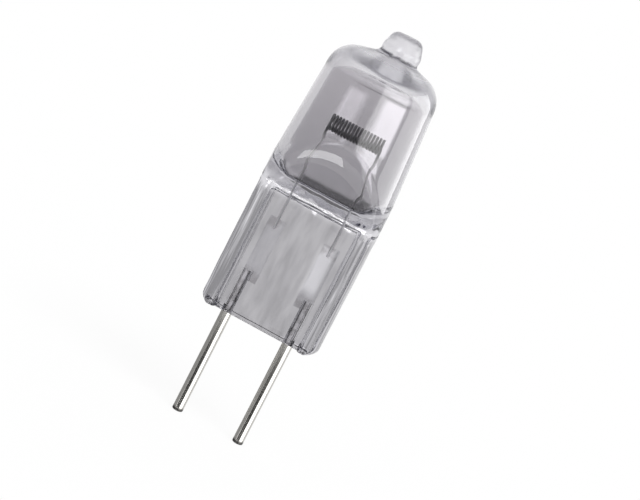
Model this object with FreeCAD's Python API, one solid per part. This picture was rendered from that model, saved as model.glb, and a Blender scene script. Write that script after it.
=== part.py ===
import FreeCAD
import Part
import math
import os
from FreeCAD import Vector

# Halogen capsule lamp with a two-pin base, in millimetres.
# The origin is the middle of the press seal's underside. +Z runs up the lamp's axis to the
# exhaust tip, and the two pins stand side by side along X and point down.

# Driving dimensions

# Pins of the base, plated from just below the quartz to their tips
PIN_SPACING = 6.35
PIN_DIAMETER = 1.05
PIN_CORE_DIAMETER = 1.0
PIN_EXPOSED = 10.6
PIN_EMBEDDED = 4.3
PIN_PLATING_GAP = 0.12
PIN_TIP_CHAMFER = 0.12
PIN_WELD_FLAT = 0.12

# Quartz bulb, outside
BULB_DIAMETER = 11.94
BULB_SHOULDER_DIAMETER = 10.4
BULB_LENGTH = 11.4
BULB_FOOT_RISE = 2.4
BULB_FOOT_ROUND = 12.0
BULB_SHOULDER_ROUND = 2.5
DOME_RISE = 1.0

# Quartz bulb, cavity
WALL = 0.8
DOME_THICKNESS = 1.4
FLOOR_ABOVE_SEAL = 1.4
FLOOR_ROUND = 1.5
CAVITY_SHOULDER_ROUND = 1.8

# Exhaust tip, melted shut on the dome
TIP_HEIGHT = 2.25
TIP_NECK_DIAMETER = 3.6
TIP_DIAMETER = 3.75
TIP_BULGE_HEIGHT = 0.8
TIP_TOP_DIAMETER = 2.7
TIP_ROUND = 0.6
TIP_NECK_ROUND = 0.3
EXHAUST_BORE = 0.9
EXHAUST_BORE_END = 0.6
EXHAUST_BORE_DEPTH = 1.7
EXHAUST_BORE_ROUND = 0.25

# Press seal, a thin web between two beads, that opens upwards into the bulb
SEAL_HEIGHT = 12.6
SEAL_OPENING = 5.5
SEAL_SIDE_ROUND = 1.2
SEAL_CORNER_ROUND = 0.9
SEAL_TOP_FILLET = 0.7
BEAD_THICKNESS = 3.8
BEAD_WIDTH = 1.5
BEAD_DRAFT = 0.25
WEB_THICKNESS = 2.6
WEB_HEIGHT = 12.0
WEB_RAMP = 0.25
WEB_ROUND = 0.35

# Molybdenum foils
FOIL_WIDTH = 1.6
FOIL_LENGTH = 6.4
FOIL_THICKNESS = 0.04
FOIL_FEATHER = 0.15
FOIL_INSET = 0.4
WELD_OVERLAP = 1.0

# Tungsten filament, with the light centre measured from the pin tips
LIGHT_CENTRE = 30.35
COIL_LENGTH = 5.2
COIL_DIAMETER = 1.58
COIL_TURNS = 17
WIRE_DIAMETER = 0.25

# Gap that the quartz leaves round a pin and round a filament leg
SEAL_GAP = 0.02

# Distance at which two shapes count as touching
TOUCH = 1e-5

# Places worked out from the sizes

SIDES = {"left": -1, "right": 1}
AXIS_X = Vector(1, 0, 0)
AXIS_Y = Vector(0, 1, 0)
AXIS_Z = Vector(0, 0, 1)

pin_radius = PIN_DIAMETER / 2
core_radius = PIN_CORE_DIAMETER / 2
wire_radius = WIRE_DIAMETER / 2

foot_z = SEAL_HEIGHT + BULB_FOOT_RISE
shoulder_z = foot_z + BULB_LENGTH
dome_top_z = shoulder_z + DOME_RISE
tip_top_z = dome_top_z + TIP_HEIGHT
floor_z = SEAL_HEIGHT + FLOOR_ABOVE_SEAL
seal_half_width = BULB_DIAMETER / 2
bead_y = BEAD_THICKNESS / 2
web_y = WEB_THICKNESS / 2
jaw_steepness = SEAL_OPENING / (seal_half_width - bead_y)

foil_x = PIN_SPACING / 2 - FOIL_INSET
foil_face_y = core_radius - PIN_WELD_FLAT
foil_bottom_z = PIN_EMBEDDED - WELD_OVERLAP
foil_top_z = foil_bottom_z + FOIL_LENGTH

coil_z = LIGHT_CENTRE - PIN_EXPOSED
coil_radius = (COIL_DIAMETER - WIRE_DIAMETER) / 2
leg_y = foil_face_y - wire_radius
leg_foot_z = foil_top_z - WELD_OVERLAP


def wall_radius(z):
    """Outer radius of the tapered bulb wall at a height."""
    taper = (BULB_DIAMETER - BULB_SHOULDER_DIAMETER) / 2 / BULB_LENGTH
    return BULB_DIAMETER / 2 - taper * (z - foot_z)


def dome_height(radius):
    """Height of the sloping dome above a radius, carried on under the exhaust tip."""
    run = BULB_SHOULDER_DIAMETER / 2 - TIP_NECK_DIAMETER / 2
    return shoulder_z + DOME_RISE / run * (BULB_SHOULDER_DIAMETER / 2 - radius)


def jaw_height(y):
    """Height at which the press jaws, which open upwards above the seal, have reached a depth."""
    return SEAL_HEIGHT + jaw_steepness * (y - bead_y)


def rounded_corner(before, corner, after, radius):
    """The arc that rounds a corner, as its start, middle and end points."""
    to_before = (before - corner).normalize()
    to_after = (after - corner).normalize()
    half_angle = to_before.getAngle(to_after) / 2
    reach = radius / math.tan(half_angle)
    depth = radius / math.sin(half_angle) - radius
    middle = corner + (to_before + to_after).normalize() * depth
    return corner + to_before * reach, middle, corner + to_after * reach


def rounded_face(corners):
    """A flat face whose outline runs through corners of (point, rounding radius)."""
    edges = []
    stops = []
    for i, (corner, radius) in enumerate(corners):
        if radius == 0:
            stops.append((corner, corner))
            continue
        before = corners[i - 1][0]
        after = corners[(i + 1) % len(corners)][0]
        start, middle, end = rounded_corner(before, corner, after, radius)
        edges.append(Part.Arc(start, middle, end).toShape())
        stops.append((start, end))
    for i, (start, _) in enumerate(stops):
        edges.append(Part.LineSegment(stops[i - 1][1], start).toShape())
    return Part.Face(Part.Wire(Part.__sortEdges__(edges)))


def turned(profile):
    """A solid of revolution from corners of (radius, height, rounding radius)."""
    corners = [(Vector(r, 0, z), rounding) for r, z, rounding in profile]
    return rounded_face(corners).revolve(Vector(0, 0, 0), AXIS_Z, 360)


def bar_across(half):
    """A bar along X, wider than the lamp, from half its outline in corners of (y, z, rounding radius)."""
    outline = half + [(-y, z, rounding) for y, z, rounding in reversed(half)]
    section = rounded_face([(Vector(-BULB_DIAMETER, y, z), rounding) for y, z, rounding in outline])
    return section.extrude(AXIS_X * 2 * BULB_DIAMETER)


def rod(start, end, radius):
    """A round rod between two points."""
    along = end - start
    return Part.makeCylinder(radius, along.Length, start, along)


def tube_outside():
    """Round tube before it is pressed, with its tapered bulb, sloping dome and exhaust tip.
    It reaches down past the end of the seal."""
    return turned([
        (0, -SEAL_HEIGHT, 0),
        (seal_half_width, -SEAL_HEIGHT, 0),
        (seal_half_width, foot_z, BULB_FOOT_ROUND),
        (BULB_SHOULDER_DIAMETER / 2, shoulder_z, BULB_SHOULDER_ROUND),
        (TIP_NECK_DIAMETER / 2, dome_top_z, TIP_NECK_ROUND),
        (TIP_DIAMETER / 2, dome_top_z + TIP_BULGE_HEIGHT, TIP_ROUND),
        (TIP_TOP_DIAMETER / 2, tip_top_z, TIP_ROUND),
        (0, tip_top_z, 0),
    ])


def between_jaws():
    """Space that the press jaws leave: flat over the seal, then opening upwards past the bulb."""
    return bar_across([
        (bead_y, -SEAL_HEIGHT / 2, 0),
        (bead_y, SEAL_HEIGHT, SEAL_TOP_FILLET),
        (BULB_DIAMETER, jaw_height(BULB_DIAMETER), 0),
        (BULB_DIAMETER, tip_top_z + TIP_HEIGHT, 0),
    ])


def seal_end():
    """Outline of the lamp from the front, with the rounded lower corners of its seal."""
    width = 2 * seal_half_width
    corner = Vector(-seal_half_width, -BULB_DIAMETER, 0)
    top = AXIS_Z * (tip_top_z + TIP_HEIGHT)
    front = rounded_face([
        (corner, SEAL_CORNER_ROUND),
        (corner + AXIS_X * width, SEAL_CORNER_ROUND),
        (corner + AXIS_X * width + top, 0),
        (corner + top, 0),
    ])
    return front.extrude(AXIS_Y * 2 * BULB_DIAMETER)


def bulb_cavity():
    """Gas space inside the bulb, narrowed to its floor as the jaws left it, with the exhaust bore."""
    inner_shoulder = wall_radius(shoulder_z - DOME_THICKNESS) - WALL
    bore_foot_z = dome_height(EXHAUST_BORE / 2) - DOME_THICKNESS
    bore_end_z = bore_foot_z + EXHAUST_BORE_DEPTH
    space = turned([
        (0, floor_z, 0),
        (wall_radius(floor_z) - WALL, floor_z, FLOOR_ROUND),
        (inner_shoulder, dome_height(inner_shoulder) - DOME_THICKNESS, CAVITY_SHOULDER_ROUND),
        (EXHAUST_BORE / 2, bore_foot_z, EXHAUST_BORE_ROUND),
        (EXHAUST_BORE_END / 2, bore_end_z, EXHAUST_BORE_ROUND),
        (0, bore_end_z, 0),
    ])
    wall_rise = WALL * math.sqrt(1 + jaw_steepness ** 2)
    under_floor_z = floor_z - WALL
    under_floor_y = bead_y + (under_floor_z - wall_rise - SEAL_HEIGHT) / jaw_steepness
    narrowed = bar_across([
        (under_floor_y, under_floor_z, 0),
        (BULB_DIAMETER, jaw_height(BULB_DIAMETER) + wall_rise, 0),
        (BULB_DIAMETER, tip_top_z + TIP_HEIGHT, 0),
    ])
    return space.common(narrowed)


def web_recess():
    """What the press jaw takes from the front face, to leave the web between its two beads."""
    step = bead_y - web_y
    bead_x = seal_half_width - BEAD_WIDTH
    web_x = bead_x - BEAD_DRAFT
    mouth_x = bead_x + BEAD_DRAFT
    mouth_y = bead_y + step
    plan = rounded_face([
        (Vector(-mouth_x, -mouth_y, 0), 0),
        (Vector(mouth_x, -mouth_y, 0), 0),
        (Vector(web_x, -web_y, 0), WEB_ROUND),
        (Vector(-web_x, -web_y, 0), WEB_ROUND),
    ])
    profile = rounded_face([
        (Vector(-mouth_x, -mouth_y, 0), 0),
        (Vector(-mouth_x, -web_y, 0), 0),
        (Vector(-mouth_x, -web_y, WEB_HEIGHT), WEB_ROUND),
        (Vector(-mouth_x, -mouth_y, WEB_HEIGHT + 2 * WEB_RAMP), 0),
    ])
    return plan.extrude(AXIS_Z * SEAL_HEIGHT).common(profile.extrude(AXIS_X * 2 * mouth_x))


def pin(side):
    """Straight contact pin: a core with a weld flat on its inner end, plated over its outer length."""
    blank = turned([
        (0, -PIN_EXPOSED, 0),
        (pin_radius - PIN_TIP_CHAMFER, -PIN_EXPOSED, 0),
        (pin_radius, PIN_TIP_CHAMFER - PIN_EXPOSED, 0),
        (pin_radius, -PIN_PLATING_GAP, 0),
        (core_radius, -PIN_PLATING_GAP, 0),
        (core_radius, PIN_EMBEDDED, 0),
        (0, PIN_EMBEDDED, 0),
    ])
    flat = Part.makeBox(PIN_CORE_DIAMETER, PIN_WELD_FLAT, WELD_OVERLAP)
    flat.translate(Vector(-core_radius, foil_face_y, foil_bottom_z))
    return blank.cut(flat).translated(AXIS_X * side * PIN_SPACING / 2)


def pin_bore(side):
    """Room in the quartz for the buried end of a pin."""
    x = side * PIN_SPACING / 2
    return rod(Vector(x, 0, 0), Vector(x, 0, PIN_EMBEDDED + SEAL_GAP), core_radius + SEAL_GAP)


def foil(side):
    """Thin sealing foil with feathered long edges, flat against the pin and the leg."""
    x = side * foil_x
    half = FOIL_WIDTH / 2
    back_y = foil_face_y + FOIL_THICKNESS
    section = rounded_face([
        (Vector(x - half, foil_face_y, foil_bottom_z), 0),
        (Vector(x + half, foil_face_y, foil_bottom_z), 0),
        (Vector(x + half - FOIL_FEATHER, back_y, foil_bottom_z), 0),
        (Vector(x - half + FOIL_FEATHER, back_y, foil_bottom_z), 0),
    ])
    return section.extrude(AXIS_Z * FOIL_LENGTH)


def leg_foot(side, gap=0.0):
    """The upright end of a filament leg, from the cavity's floor down onto the foil."""
    x = side * foil_x
    return rod(Vector(x, leg_y, floor_z + gap), Vector(x, leg_y, leg_foot_z - gap), wire_radius + gap)


def filament():
    """One tungsten wire: a coil across the bulb and two legs that lead down from its ends.
    The coil is half-turns that lean one way over the top and the other way underneath."""
    half_turns = 2 * COIL_TURNS - 1
    advance = COIL_LENGTH / half_turns
    stops = []
    for i in range(half_turns + 1):
        stops.append(Vector(i * advance - COIL_LENGTH / 2, coil_radius * (-1) ** i, coil_z))
    lengths = []
    for i, (start, end) in enumerate(zip(stops, stops[1:])):
        centre = (start + end) / 2
        lean = (start - centre).cross(AXIS_Z * (-1) ** i)
        section = Part.Face(Part.Wire(Part.Circle(start, AXIS_Z, wire_radius).toShape()))
        lengths.append(section.revolve(centre, lean, 180))
    for side, top in zip(SIDES.values(), (stops[0], stops[-1])):
        bend = Vector(side * foil_x, leg_y, floor_z)
        lengths += [
            Part.makeSphere(wire_radius, top),
            rod(top, bend, wire_radius),
            Part.makeSphere(wire_radius, bend),
            leg_foot(side),
        ]
    return lengths[0].fuse(lengths[1:]).removeSplitter()


def lies_on(edge, solid):
    """Whether the middle of an edge is on a solid's surface."""
    middle = edge.valueAt(sum(edge.ParameterRange) / 2)
    return solid.Shells[0].distToShape(Part.Vertex(middle))[0] < TOUCH


def quartz_envelope():
    """Tube pressed flat below its bulb, with rounded edges, closed round what it holds."""
    tube = tube_outside()
    jaws = between_jaws()
    pressed = tube.common(jaws).Solids[0]
    edges = [e for e in pressed.Edges if e.BoundBox.ZMax > 0 and lies_on(e, tube) and lies_on(e, jaws)]
    glass = pressed.makeFillet(SEAL_SIDE_ROUND, edges).common(seal_end())
    recess = web_recess()
    hollows = [bulb_cavity(), recess, recess.rotated(Vector(0, 0, 0), AXIS_Z, 180)]
    for side in SIDES.values():
        hollows += [pin_bore(side), foil(side), leg_foot(side, SEAL_GAP)]
    return glass.cut(hollows)


# Write each piece to its own file

os.makedirs("parts", exist_ok=True)
pieces = {"quartz_envelope": quartz_envelope(), "filament": filament()}
for name, side in SIDES.items():
    pieces["foil_" + name] = foil(side)
    pieces["pin_" + name] = pin(side)
for name, piece in pieces.items():
    piece.Solids[0].exportStep("parts/" + name + ".step")
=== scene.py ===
"""Dresses the packed capsule bulb: clear quartz, tungsten coil, sealing foils and bright pins."""

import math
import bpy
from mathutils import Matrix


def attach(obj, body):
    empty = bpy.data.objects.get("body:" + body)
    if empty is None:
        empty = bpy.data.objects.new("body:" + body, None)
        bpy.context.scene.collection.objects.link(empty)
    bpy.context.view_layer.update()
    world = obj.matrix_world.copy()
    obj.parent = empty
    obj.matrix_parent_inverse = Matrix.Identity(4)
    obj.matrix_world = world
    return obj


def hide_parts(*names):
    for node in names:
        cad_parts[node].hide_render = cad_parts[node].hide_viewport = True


bl_info = {
    "name": "Halogen capsule bulb",
    "version": (1, 0, 0),
    "blender": (4, 5, 0),
    "location": "View3D > Sidebar > Capsule bulb",
    "description": "Models the pieces of a halogen capsule bulb round its packed frame",
    "category": "Object",
}

import bmesh
import bpy
from bpy.props import FloatProperty, FloatVectorProperty, IntProperty, PointerProperty
from mathutils import Matrix, Quaternion, Vector, noise

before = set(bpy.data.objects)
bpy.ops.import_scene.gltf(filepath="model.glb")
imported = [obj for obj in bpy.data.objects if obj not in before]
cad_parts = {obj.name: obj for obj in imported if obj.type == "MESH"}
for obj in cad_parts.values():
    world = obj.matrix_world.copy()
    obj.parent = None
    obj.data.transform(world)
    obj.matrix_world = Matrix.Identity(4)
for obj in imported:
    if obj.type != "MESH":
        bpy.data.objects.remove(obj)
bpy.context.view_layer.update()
MM = 0.001
SIDES = {"left": -1, "right": 1}
# Points closer than this are one point
TOUCH = 1e-7


def length(name, description, default):
    """A size that a user may change, given in millimetres and kept in metres."""
    return FloatProperty(
        name=name, description=description, default=default * MM, unit="LENGTH", precision=5)


def angle(name, description, degrees):
    """An angle that a user may change."""
    return FloatProperty(name=name, description=description, default=math.radians(degrees), subtype="ANGLE")


def colour(name, description, default):
    """A colour that a user may change."""
    return FloatVectorProperty(
        name=name, description=description, default=default, subtype="COLOR", min=0, max=1)


def count(name, description, default):
    """A number of repeats."""
    return IntProperty(name=name, description=description, default=default, min=2)


def number(name, description, default):
    """A plain number."""
    return FloatProperty(name=name, description=description, default=default, min=0)


# Sizes and colours


class QuartzSizes(bpy.types.PropertyGroup):
    """Sizes of the quartz envelope."""

    bulb_radius: length("Bulb radius", "Radius of the tube below the bulb's taper", 5.97)
    shoulder_radius: length("Shoulder radius", "Radius of the bulb wall below the dome", 5.2)
    wall_foot: length("Wall foot", "Height where the bulb wall starts to taper", 15.0)
    foot_round: length("Foot round", "Rounding where the taper starts", 12.0)
    shoulder_height: length("Shoulder height", "Height where the bulb wall meets the dome", 26.4)
    shoulder_round: length("Shoulder round", "Rounding between wall and dome", 2.5)
    dome_height: length("Dome height", "Height of the dome where it meets the exhaust tip", 27.4)
    tip_neck: length("Tip neck radius", "Radius of the exhaust tip's neck", 1.8)
    tip_neck_round: length("Tip neck round", "Rounding between the dome and the tip", 0.5)
    tip_radius: length("Tip radius", "Largest radius of the exhaust tip", 1.875)
    tip_bulge: length("Tip bulge", "Height of the widest part of the tip above the dome", 0.8)
    tip_top: length("Tip top radius", "Radius of the melted end of the tip", 1.35)
    tip_round: length("Tip round", "Rounding of the tip's edges", 0.75)
    tip_height: length("Tip height", "Height of the end of the tip", 29.65)
    tip_lean: length("Tip lean", "How far the melted tip stands to the right of the axis", 0.3)
    wall: length("Wall", "Thickness of the bulb wall", 0.8)
    dome_thickness: length("Dome thickness", "Thickness of the quartz in the dome", 1.4)
    floor_height: length("Floor height", "Height of the flat floor inside the bulb", 14.0)
    floor_round: length("Floor round", "Rounding between the floor and the inner wall", 1.5)
    cavity_shoulder_round: length("Cavity shoulder round", "Rounding of the gas space below the dome", 1.8)
    bore_radius: length("Exhaust bore radius", "Radius of the closed bore under the tip", 0.45)
    bore_end: length("Exhaust bore end", "Radius at the closed end of the bore", 0.3)
    bore_depth: length("Exhaust bore depth", "Depth of the closed bore", 1.7)
    bore_round: length("Exhaust bore round", "Rounding of the bore's edges", 0.25)
    jaw_height: length("Jaw height", "Height where the press jaws start to open", 12.6)
    jaw_opening: length("Jaw opening", "Height over which the jaws open to the bulb's depth", 5.5)
    jaw_round: length("Jaw round", "Rounding of the jaws where they start to open", 0.7)
    press_softness: length("Press softness", "Width over which the pressed tube's edges are rounded", 1.4)
    gas_softness: length("Gas space softness", "The same inside the bulb", 0.8)
    seal_half_depth: length("Seal half depth", "Half the thickness of the press seal at its beads", 1.9)
    web_half_depth: length("Web half depth", "Half the thickness of the web between the beads", 1.3)
    web_half_width: length("Web half width", "Half the width of the flat web", 4.22)
    bead_draft: length("Bead draft", "Width of the slope from web to bead", 0.25)
    web_height: length("Web height", "Height where the recess of the web starts to run out", 12.0)
    web_ramp: length("Web ramp", "Height over which the recess runs out", 0.25)
    side_round: length("Side round", "Width of the seal's side that its lower corner takes in", 1.2)
    corner_round: length("Corner round", "Rounding of the seal's lower corners", 0.9)
    edge_round: length("Edge round", "Rounding of the seal's lower edge", 0.18)
    bore_gap: length("Pin bore gap", "Room round a buried pin", 0.02)


class WireSizes(bpy.types.PropertyGroup):
    """Sizes of the tungsten filament."""

    wire_radius: length("Wire radius", "Radius of the tungsten wire", 0.125)
    coil_radius: length("Coil radius", "Radius of the coil at the middle of the wire", 0.665)
    coil_length: length("Coil length", "Length of the coil across the bulb", 5.2)
    coil_height: length("Coil height", "Height of the coil's axis", 19.75)
    half_turns: count("Half turns", "Half turns of the coil", 33)
    leg_x: length("Leg place", "Distance of a leg from the lamp's axis", 2.775)
    leg_y: length("Leg depth", "Place of the legs behind the lamp's middle plane", 0.255)
    leg_bend: length("Leg bend", "Height where a leg enters the quartz", 14.0)
    leg_foot: length("Leg foot", "Height of the lower end of a leg", 8.7)


class SealMetalSizes(bpy.types.PropertyGroup):
    """Sizes of the foils and the contact pins."""

    foil_x: length("Foil place", "Distance of a foil's middle from the lamp's axis", 2.775)
    foil_face: length("Foil face", "Place of the foil's welded face", 0.38)
    foil_thickness: length("Foil thickness", "Thickness of the foil at its middle", 0.04)
    foil_half_width: length("Foil half width", "Half the width of a foil", 0.8)
    foil_bottom: length("Foil bottom", "Height of a foil's lower end", 3.3)
    foil_top: length("Foil top", "Height of a foil's upper end", 9.7)
    pin_x: length("Pin place", "Distance of a pin from the lamp's axis", 3.175)
    pin_radius: length("Pin radius", "Radius of a pin's plated length", 0.525)
    core_radius: length("Core radius", "Radius of a pin inside the quartz", 0.5)
    pin_tip: length("Pin tip", "Height of a pin's free end", -10.6)
    plating_end: length("Plating end", "Height where the plating ends below the quartz", -0.12)
    pin_top: length("Pin top", "Height of a pin's buried end", 4.3)
    tip_chamfer: length("Tip chamfer", "Rounding of a pin's free end", 0.12)


class FinishColours(bpy.types.PropertyGroup):
    """Colours of the finishes."""

    quartz: colour("Quartz", "Tint of the quartz at the top of the bulb", (0.665, 0.65, 0.67))
    quartz_low: colour("Lower quartz", "Tint of the quartz at the foot of the bulb", (0.57, 0.56, 0.58))
    quartz_thick: colour("Thick quartz", "Tint where the quartz is thick", (0.97, 0.96, 0.975))
    quartz_pressed: colour("Pressed quartz", "Tint of the quartz of the press seal", (0.56, 0.55, 0.565))
    quartz_cloud: colour("Quartz cloud", "Tint where the press has clouded the quartz", (0.33, 0.325, 0.335))
    # Painted shade: near-black tint on the floor of the gas space
    quartz_painted_shade: colour("Smoked quartz", "Tint of the smoked floor of the gas space", (0.025, 0.025, 0.027))
    tungsten: colour("Tungsten", "Colour of the drawn tungsten coil", (0.13, 0.13, 0.14))
    tungsten_worn: colour("Worn tungsten", "Colour of the coil where it is brighter", (0.22, 0.215, 0.215))
    tungsten_leg: colour("Tungsten leg", "Colour of the legs of the filament", (0.85, 0.845, 0.85))
    foil: colour("Foil", "Colour of the rolled foil", (0.92, 0.92, 0.93))
    foil_heated: colour("Heated foil", "Colour of the foil round its welds", (0.48, 0.46, 0.46))
    pin: colour("Pin", "Colour of the bright drawn pins", (0.66, 0.645, 0.615))
    pin_dull: colour("Dull pin", "Colour of the pins where they are dull", (0.36, 0.345, 0.325))
    # Painted shade at the pins' cut ends
    pin_cut_painted_shade: colour("Cut pin", "Colour of the cut ends of the pins", (0.07, 0.068, 0.065))
    pin_buried: colour("Buried pin", "Colour of the pins inside the quartz", (0.20, 0.195, 0.19))
    # Painted highlight down the middle of each buried pin end
    pin_painted_highlight: colour("Sealed pin", "Colour of the bright middle of the buried pin ends", (0.92, 0.92, 0.93))


class StageSettings(bpy.types.PropertyGroup):
    """Place of the camera and strength of the studio light."""

    azimuth: angle("Azimuth", "How far the camera stands to the right of the front", 6.0)
    elevation: angle("Elevation", "How far the camera looks down", 10.0)
    lean: angle("Lean", "How far the lamp leans to the right in the picture", 27.2)
    aim_height: length("Aim height", "Height on the lamp's axis beside the picture's middle", 8.9)
    aim_right: length("Aim right", "Distance of the picture's middle to the right of the axis", 1.85)
    frame_width: length("Frame width", "Width of the picture at the lamp", 57.9)
    lens: number("Lens", "Focal length in millimetres", 110.0)
    key_light: number("Key light", "Brightness of the soft lamp overhead", 0.3)
    ambient: number("Ambient", "Strength of the soft light from all round", 0.75)


# Shader maths


class Socket:
    """A node's output, whose sums, differences and products become Math nodes."""

    def __init__(self, finish, socket):
        self.finish = finish
        self.socket = socket

    def math(self, operation, first, second):
        return self.finish.node("ShaderNodeMath", {"operation": operation}, {0: first, 1: second})

    def __add__(self, other):
        return self.math("ADD", self, other)

    def __radd__(self, other):
        return self.math("ADD", other, self)

    def __sub__(self, other):
        return self.math("SUBTRACT", self, other)

    def __rsub__(self, other):
        return self.math("SUBTRACT", other, self)

    def __mul__(self, other):
        return self.math("MULTIPLY", self, other)

    def __rmul__(self, other):
        return self.math("MULTIPLY", other, self)


class Finish:
    """A material made of nodes."""

    def __init__(self, tree):
        self.tree = tree
        self.tree.nodes.clear()

    def node(self, kind, settings=None, inputs=None, output=0):
        """Adds a node, sets it up, joins its inputs and gives one of its outputs."""
        made = self.tree.nodes.new(kind)
        for name, value in (settings or {}).items():
            setattr(made, name, value)
        for name, value in (inputs or {}).items():
            if isinstance(value, Socket):
                self.tree.links.new(value.socket, made.inputs[name])
            else:
                made.inputs[name].default_value = value
        return Socket(self, made.outputs[output])

    def place(self):
        """Place on the piece, in millimetres."""
        at = self.node("ShaderNodeTexCoord", output="Object")
        return self.node("ShaderNodeMapping", {}, {"Vector": at, "Scale": (1 / MM, 1 / MM, 1 / MM)})

    def along(self, place, axis):
        """Distance along one axis of the lamp, in millimetres."""
        return self.node("ShaderNodeSeparateXYZ", {}, {"Vector": place}, axis)

    def stretched(self, place, scale):
        """The same place with a pattern drawn out along one of its axes."""
        return self.node("ShaderNodeMapping", {}, {"Vector": place, "Scale": scale})

    def cloud(self, place, scale, detail):
        """Soft noise from 0 to 1."""
        inputs = {"Vector": place, "Scale": scale, "Detail": detail}
        return self.node("ShaderNodeTexNoise", {}, inputs, "Fac")

    def step(self, value, low, high):
        """0 below low, 1 above high and smooth between them."""
        settings = {"interpolation_type": "SMOOTHSTEP"}
        return self.node("ShaderNodeMapRange", settings, {"Value": value, "From Min": low, "From Max": high})

    def band(self, value, low, high, softness):
        """1 between low and high, 0 outside them and smooth at both."""
        return self.step(value, low - softness, low) * (1 - self.step(value, high, high + softness))

    def unsigned(self, value):
        """A value without its sign."""
        return self.node("ShaderNodeMath", {"operation": "ABSOLUTE"}, {0: value})

    def greater(self, first, second):
        """The greater of two values."""
        return self.node("ShaderNodeMath", {"operation": "MAXIMUM"}, {0: first, 1: second})

    def blend(self, factor, first, second):
        """A colour between two colours."""
        settings = {"data_type": "RGBA"}
        first, second = (shade if isinstance(shade, Socket) else (*shade, 1) for shade in (first, second))
        return self.node("ShaderNodeMix", settings, {0: factor, 6: first, 7: second}, 2)

    def bump(self, height, strength, distance):
        """A normal from a height."""
        inputs = {"Height": height, "Strength": strength, "Distance": distance * MM}
        return self.node("ShaderNodeBump", {}, inputs, "Normal")

    def output(self, links, kind="ShaderNodeOutputMaterial"):
        """Joins the finished shaders to the output."""
        out = self.tree.nodes.new(kind)
        for name, link in links.items():
            self.tree.links.new(link.socket, out.inputs[name])

    def surface(self, inputs, **others):
        """The finished surface, with what else the output takes."""
        self.output({"Surface": self.node("ShaderNodeBsdfPrincipled", {}, inputs), **others})

    def metal(self, shade, roughness, normal):
        """The finished surface of a bare metal."""
        self.surface({"Base Color": shade, "Metallic": 1.0, "Roughness": roughness, "Normal": normal})


def new_material(name):
    """An empty material and the finish that fills it."""
    material = bpy.data.materials.new(name)
    material.use_nodes = True
    return material, Finish(material.node_tree)


# Where the look of the quartz changes, in millimetres on the lamp: from, to and, for a band, its softness
PRESS_MARKS_END = (11.2, 12.4)
BULB_TINT_RISE = (14.0, 26.0)
DOME_CLEARING = (24.6, 26.4)
JOINT_CLEARING = (12.1, 13.3, 0.7)
MILKY_RISE = (24.6, 27.4)
DRIPS_RISE = (26.8, 27.8)
WEB_WIDTH = (-4.4, 4.4, 0.2)
MIDDLE = (-1.0, 1.0)
# Painted highlight on the seal's front over each foil: its height, its width from the axis, and the depth
# over which it fades out towards the seal's middle plane
FOIL_HIGHLIGHT_HEIGHT = (5.4, 9.2, 0.8)
FOIL_HIGHLIGHT_WIDTH = (2.2, 3.2, 0.5)
FOIL_HIGHLIGHT_FRONT = (-0.6, 0.0)
BORE_HEIGHT = (0.02, 4.4, 0.02)
BORE_WIDTH = (2.6, 3.75, 0.05)
BORE_DEPTH = (-0.55, 0.55, 0.05)
# Painted shade on the floor of the gas space: its width and depth
FLOOR_SHADE_WIDTH = (-2.6, 4.1, 0.8)
FLOOR_SHADE_DEPTH = (-2.0, 2.0, 0.4)
# The same for the painted shade, above and below the floor of the gas space
FLOOR_SHADE_HEIGHT = (-0.4, 0.15, 0.4)
# How much the front of the seal is painted clear over each foil, a painted highlight that is weak on the left
# and strong on the right
LEFT_FOIL_HIGHLIGHT = 0.1
RIGHT_FOIL_HIGHLIGHT = 0.8
# Light that a metre of quartz takes out, and the colour that it leaves
QUARTZ_DENSITY = 375.0
QUARTZ_DEPTH_COLOUR = (0.80, 0.80, 0.82, 1)
QUARTZ_IOR = 1.458


def seal_tint(f, colours, place, clouded):
    """Tint of the press seal: clouded in the web, streaked in the beads, clear over the bores, and painted
    clear over the foils as a highlight.
    """
    across = f.along(place, "X")
    depth = f.along(place, "Y")
    height = f.along(place, "Z")
    clear = colours.quartz_thick
    cloud = colours.quartz_cloud
    web = f.blend(0.6 * clouded, colours.quartz_pressed, cloud)
    streaks = f.step(f.cloud(f.stretched(place, (4.5, 4.5, 0.12)), 1.0, 2.0), 0.44, 0.6)
    beads = 1 - f.band(across, *WEB_WIDTH)
    pressed = f.blend(beads, web, f.blend(streaks, cloud, clear))
    beside = f.unsigned(across)
    highlight_strength = LEFT_FOIL_HIGHLIGHT + (RIGHT_FOIL_HIGHLIGHT - LEFT_FOIL_HIGHLIGHT) * f.step(across, *MIDDLE)
    # painted highlight: the front of the seal is painted clear over the foils
    foils = highlight_strength * f.band(beside, *FOIL_HIGHLIGHT_WIDTH) * f.band(height, *FOIL_HIGHLIGHT_HEIGHT)
    foils = foils * (1 - f.step(depth, *FOIL_HIGHLIGHT_FRONT))
    bores = f.band(beside, *BORE_WIDTH) * f.band(depth, *BORE_DEPTH) * f.band(height, *BORE_HEIGHT)
    return f.blend(foils + bores, pressed, clear)


def painted_floor_shade(f, place, q):
    """1 where shade is painted on the floor of the gas space."""
    low, high, softness = FLOOR_SHADE_HEIGHT
    floor = q.floor_height / MM
    shaded = f.band(f.along(place, "Z"), floor + low, floor + high, softness)
    return shaded * f.band(f.along(place, "Y"), *FLOOR_SHADE_DEPTH) * f.band(f.along(place, "X"), *FLOOR_SHADE_WIDTH)


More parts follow.
